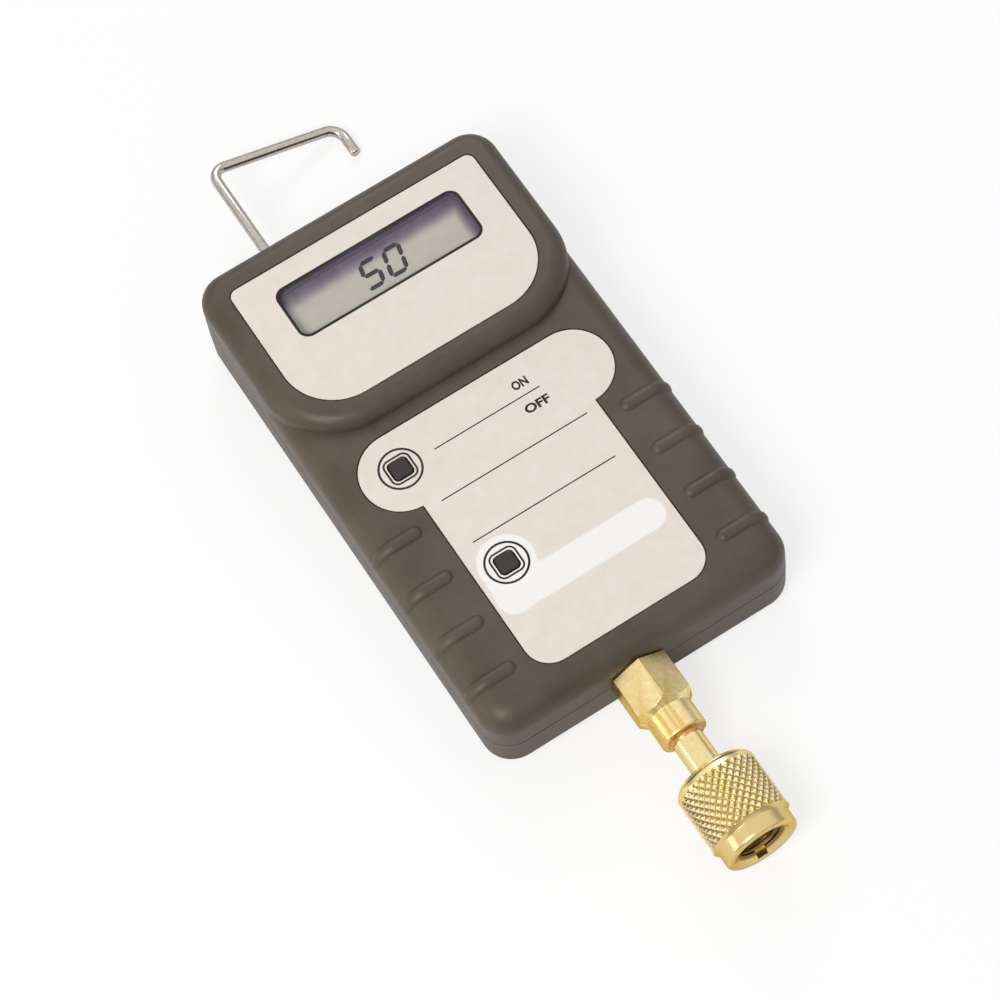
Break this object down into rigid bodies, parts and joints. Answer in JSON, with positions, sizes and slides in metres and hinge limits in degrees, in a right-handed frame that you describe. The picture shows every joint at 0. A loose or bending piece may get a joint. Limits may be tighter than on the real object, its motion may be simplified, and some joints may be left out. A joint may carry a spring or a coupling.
{
  "type": "handheld digital vacuum gauge",
  "caption": "Handheld digital vacuum gauge in a two-part moulded case with a display, push buttons, a swivelling wire hook and a knurled brass swivel coupling.",
  "frame": {"origin": "middle of the case's flat back face, which the gauge lies on", "axes": "+X to the right of the display, +Y from the coupling towards the hanging hook, +Z out of the display"},
  "size_m": [0.0752, 0.2031, 0.0254],
  "materials": {
    "case_plastic": "fine matt grain, moulded",
    "label_film": "satin printed film",
    "window_clear": "clear polished pane",
    "display_grey": "grey-green liquid crystal display",
    "frame_plastic": "plain moulded",
    "black_rubber": "matt",
    "board_green": "solder mask on glass laminate",
    "chip_black": "moulded",
    "switch_stem": "moulded",
    "plated_steel": "zinc plated",
    "hook_wire": "nickel plated wire",
    "capacitor_sleeve": "shrunk sleeve",
    "brass": "turned brass",
    "braze_copper": "braze alloy",
    "battery_wrap": "metal can with a plain wrap",
    "red_insulation": "soft insulation",
    "black_insulation": "soft insulation",
    "header_ceramic": "fired ceramic",
    "bead_glass": "glass coated bead"
  },
  "bodies": {
    "root": {"amplifier_chip": "chip_black", "battery": "battery_wrap", "battery_snap": "black_rubber", "black_lead": "black_insulation", "board_screw_1": "plated_steel", "board_screw_2": "plated_steel", "board_screw_3": "plated_steel", "board_screw_4": "plated_steel", "braze_ring": "braze_copper", "case_screw_1": "plated_steel", "case_screw_2": "plated_steel", "case_screw_3": "plated_steel", "case_screw_4": "plated_steel", "circuit_board": "board_green", "contact_strip_lower": "black_rubber", "contact_strip_upper": "black_rubber", "crystal": "plated_steel", "display_frame": "frame_plastic", "display_glass": "display_grey", "display_window": "window_clear", "filter_capacitor": "capacitor_sleeve", "fitting_washer": "plated_steel", "front_case": "case_plastic", "head_label": "label_film", "hex_fitting": "brass", "inlet_tube": "brass", "keypad_label": "label_film", "lock_nut": "brass", "lower_switch": "chip_black", "microcontroller": "chip_black", "rear_case": "case_plastic", "red_lead": "red_insulation", "sensor_header": "header_ceramic", "thermistor_bead": "bead_glass", "upper_switch": "chip_black"},
    "battery_door": {"battery_door": "case_plastic"},
    "coupling": {"coupling_nut": "brass", "coupling_gasket": "black_rubber", "core_depressor": "brass"},
    "hook": {"hanging_hook": "hook_wire", "hook_clip": "plated_steel"},
    "upper_key": {"upper_button": "case_plastic", "upper_switch_stem": "switch_stem"},
    "lower_key": {"lower_button": "case_plastic", "lower_switch_stem": "switch_stem"}
  },
  "joints": [
    {"name": "battery_door_hinge", "type": "hinge", "parent": "root", "child": "battery_door", "pos_m": [0.01855, -0.0528, 0.0008], "axis": [-1, 0, 0], "range_deg": [0, 35]},
    {"name": "coupling_swivel", "type": "hinge", "parent": "root", "child": "coupling", "pos_m": [-0.0028, -0.09975, 0.0108], "axis": [0, 1, 0], "continuous": true},
    {"name": "hook_swivel", "type": "hinge", "parent": "root", "child": "hook", "pos_m": [-0.0167, 0.06275, 0.01275], "axis": [0, 1, 0], "continuous": true},
    {"name": "upper_button_press", "type": "slide", "parent": "root", "child": "upper_key", "axis": [0, 0, -1], "range_m": [0, 0.0005], "stiffness_N_per_m": 400},
    {"name": "lower_button_press", "type": "slide", "parent": "root", "child": "lower_key", "axis": [0, 0, -1], "range_m": [0, 0.0005], "stiffness_N_per_m": 400}
  ]
}
